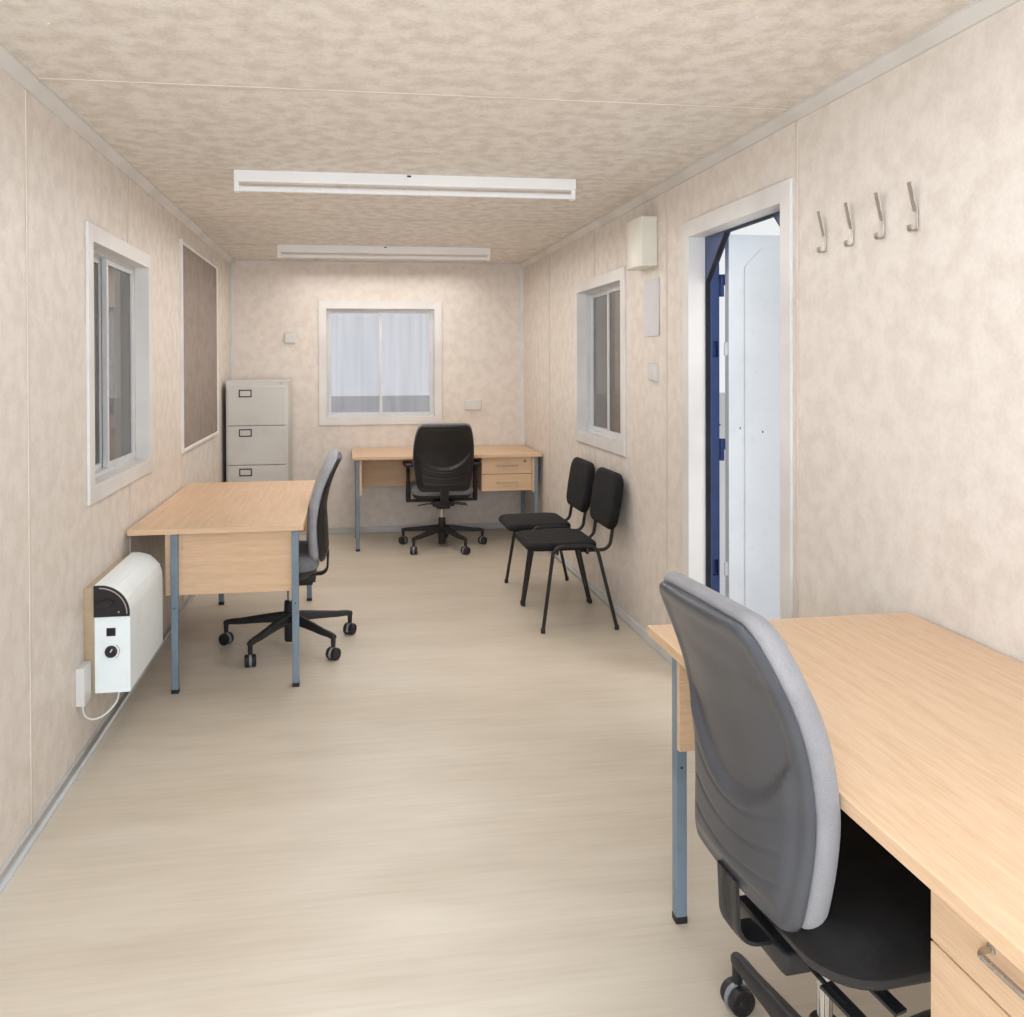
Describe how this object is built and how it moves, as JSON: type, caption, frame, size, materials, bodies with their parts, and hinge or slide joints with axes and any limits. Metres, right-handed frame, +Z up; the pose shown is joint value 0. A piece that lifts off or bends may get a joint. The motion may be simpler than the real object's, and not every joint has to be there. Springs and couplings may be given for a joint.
{
  "type": "portable site cabin",
  "caption": "Steel-clad portable site cabin with one furnished room, a steel door hinged at one side, sliding windows, strip lights, desks and chairs.",
  "frame": {"origin": "middle of the underside of the base", "axes": "+Y along the cabin's length to its far end, +X towards the door's side, +Z up"},
  "size_m": [3.638, 8.54, 2.7169],
  "materials": {
    "steel_blue": "satin",
    "steel_primer": "matt",
    "roof_grey": "satin",
    "cladding_paint": "satin",
    "joist_timber": "raw",
    "floor_vinyl": "satin vinyl",
    "ceiling_vinyl": "mottled vinyl",
    "wall_vinyl": "mottled vinyl",
    "door_blue": "gloss",
    "door_white": "satin",
    "gasket_rubber": "matt",
    "trim_white": "satin",
    "window_aluminium": "mill",
    "window_glass": "clear",
    "strip_cream": "satin",
    "skirting_grey": "satin",
    "cove_grey": "satin",
    "light_white": "gloss",
    "tube_white": "frosted",
    "unit_cream": "satin",
    "plate_white": "satin",
    "satin_steel": "satin",
    "board_felt": "felt",
    "heater_white": "satin",
    "black_plastic": "textured",
    "bracket_cream": "matt",
    "flex_white": "satin",
    "beech": "laminate",
    "leg_steel": "satin",
    "cabinet_grey": "satin",
    "black_steel": "satin",
    "seat_fabric": "woven",
    "shell_plastic": "satin",
    "back_fabric": "woven",
    "visitor_fabric": "woven"
  },
  "bodies": {
    "cabin": {"base_rails": "steel_blue", "roof_rails": "steel_blue", "corner_posts": "steel_blue", "lifting_eyes": "steel_blue", "floor_joists": "steel_primer", "roof_joists": "joist_timber", "floor_deck": "floor_vinyl", "ceiling_lining": "ceiling_vinyl", "roof_sheet": "roof_grey", "left_wall": "wall_vinyl", "right_wall_near": "wall_vinyl", "right_wall_far": "wall_vinyl", "right_wall_over_door": "wall_vinyl", "far_end_wall": "wall_vinyl", "near_end_wall": "wall_vinyl", "cladding": "cladding_paint", "door_frame": "door_blue", "door_gasket": "gasket_rubber", "door_casing": "trim_white", "hinge_pins": "door_blue", "window_casings": "trim_white", "window_frames": "window_aluminium", "window_sashes": "window_aluminium", "window_glass": "window_glass", "sheet_strips": "strip_cream", "cove_trim": "cove_grey", "corner_trims": "trim_white", "skirting": "skirting_grey", "light_bodies": "light_white", "light_tubes": "tube_white", "consumer_unit": "unit_cream", "wall_plates": "plate_white", "coat_hooks": "satin_steel", "notice_board": "board_felt", "heater": "heater_white", "heater_caps": "black_plastic", "heater_bracket": "bracket_cream", "heater_spur": "plate_white", "heater_flex": "flex_white", "desk_tops": "beech", "desk_legs": "leg_steel", "desk_panels": "beech", "drawer_units": "beech", "drawer_pulls": "satin_steel", "filing_cabinet": "cabinet_grey", "chair_stars": "black_plastic", "chair_castors": "black_plastic", "chair_mechanisms": "black_steel", "chair_seats": "seat_fabric", "chair_shells": "shell_plastic", "chair_backs": "back_fabric", "arm_rests": "black_plastic", "visitor_frames": "black_steel", "visitor_seats": "visitor_fabric", "visitor_backs": "visitor_fabric"},
    "door": {"door_leaf": "door_blue", "door_liner": "door_white", "hinge_straps": "door_blue", "door_handles": "satin_steel"}
  },
  "joints": [
    {"name": "door_swing", "type": "hinge", "parent": "cabin", "child": "door", "pos_m": [1.407, 0.462, 0.172], "axis": [0, 0, 1], "range_deg": [-90, 80]}
  ]
}
